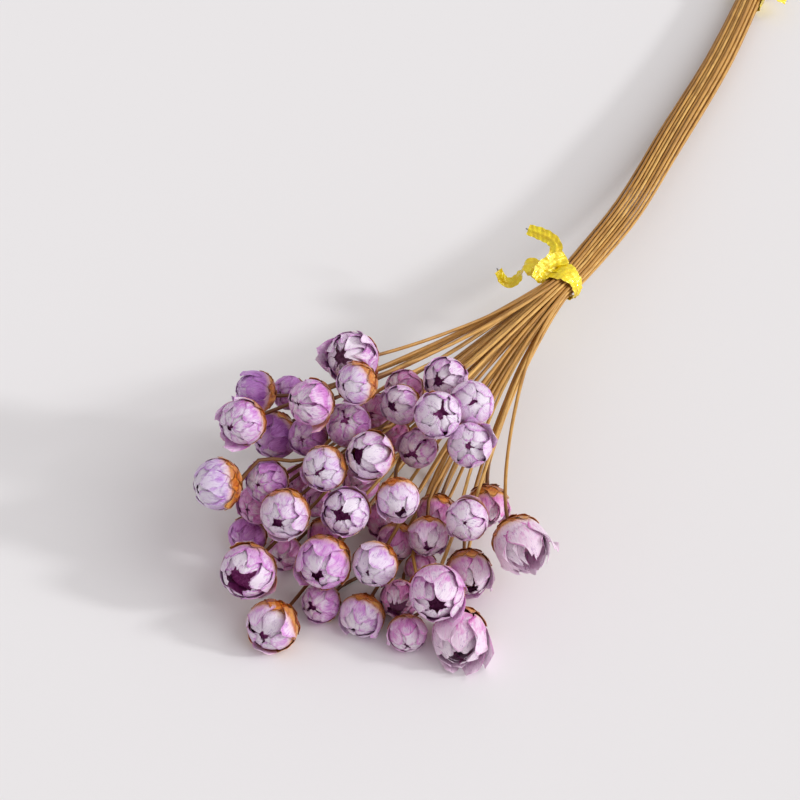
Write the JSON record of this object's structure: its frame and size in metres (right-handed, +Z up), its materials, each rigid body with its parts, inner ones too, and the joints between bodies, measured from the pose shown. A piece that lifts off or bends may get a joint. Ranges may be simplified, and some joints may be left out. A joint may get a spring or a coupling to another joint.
{
  "type": "dried flower bunch",
  "caption": "Bunch of dried glixia star flowers: papery lilac buds on wiry stems, held by two yellow twist ties, lying flat.",
  "frame": {"origin": "centre of the bunch's bounding box, on the surface it lies on", "axes": "+Z up, +Y along the stems from the buds to the cut ends, +X to the right seen from the buds"},
  "size_m": [0.056, 0.1974, 0.0318],
  "materials": {
    "stalk": "dry, papery, matte",
    "bract": "papery, matte with a faint silk sheen, purple veins and edges",
    "calyx": "dry amber-brown scales, slightly glossy",
    "stem": "dry straw, satin",
    "tie": "glossy metallic-yellow foil over a wire"
  },
  "bodies": {
    "root": {"flower_01": "stalk", "flower_02": "stalk", "flower_03": "stalk", "flower_04": "stalk", "flower_05": "stalk", "flower_06": "stalk", "flower_07": "stalk", "flower_08": "stalk", "flower_09": "stalk", "flower_10": "stalk", "flower_11": "stalk", "flower_12": "stalk", "flower_13": "stalk", "flower_14": "stalk", "flower_15": "stalk", "flower_16": "stalk", "flower_17": "stalk", "flower_18": "stalk", "flower_19": "stalk", "flower_20": "stalk", "flower_21": "stalk", "flower_22": "stalk", "flower_23": "stalk", "flower_24": "stalk", "flower_25": "stalk", "flower_26": "stalk", "flower_27": "stalk", "flower_28": "stalk", "flower_29": "stalk", "flower_30": "stalk", "flower_31": "stalk", "flower_32": "stalk", "flower_33": "stalk", "flower_34": "stalk", "flower_35": "stalk", "flower_36": "stalk", "flower_37": "stalk", "flower_38": "stalk", "flower_39": "stalk", "flower_40": "stalk", "flower_41": "stalk", "flower_42": "stalk", "flower_43": "stalk", "flower_44": "stalk", "flower_45": "stalk", "flower_46": "stalk", "flower_47": "stalk", "flower_48": "stalk", "flower_49": "stalk", "flower_50": "stalk", "flower_51": "stalk", "front_tie": "tie", "rear_tie": "tie"}
  },
  "joints": []
}
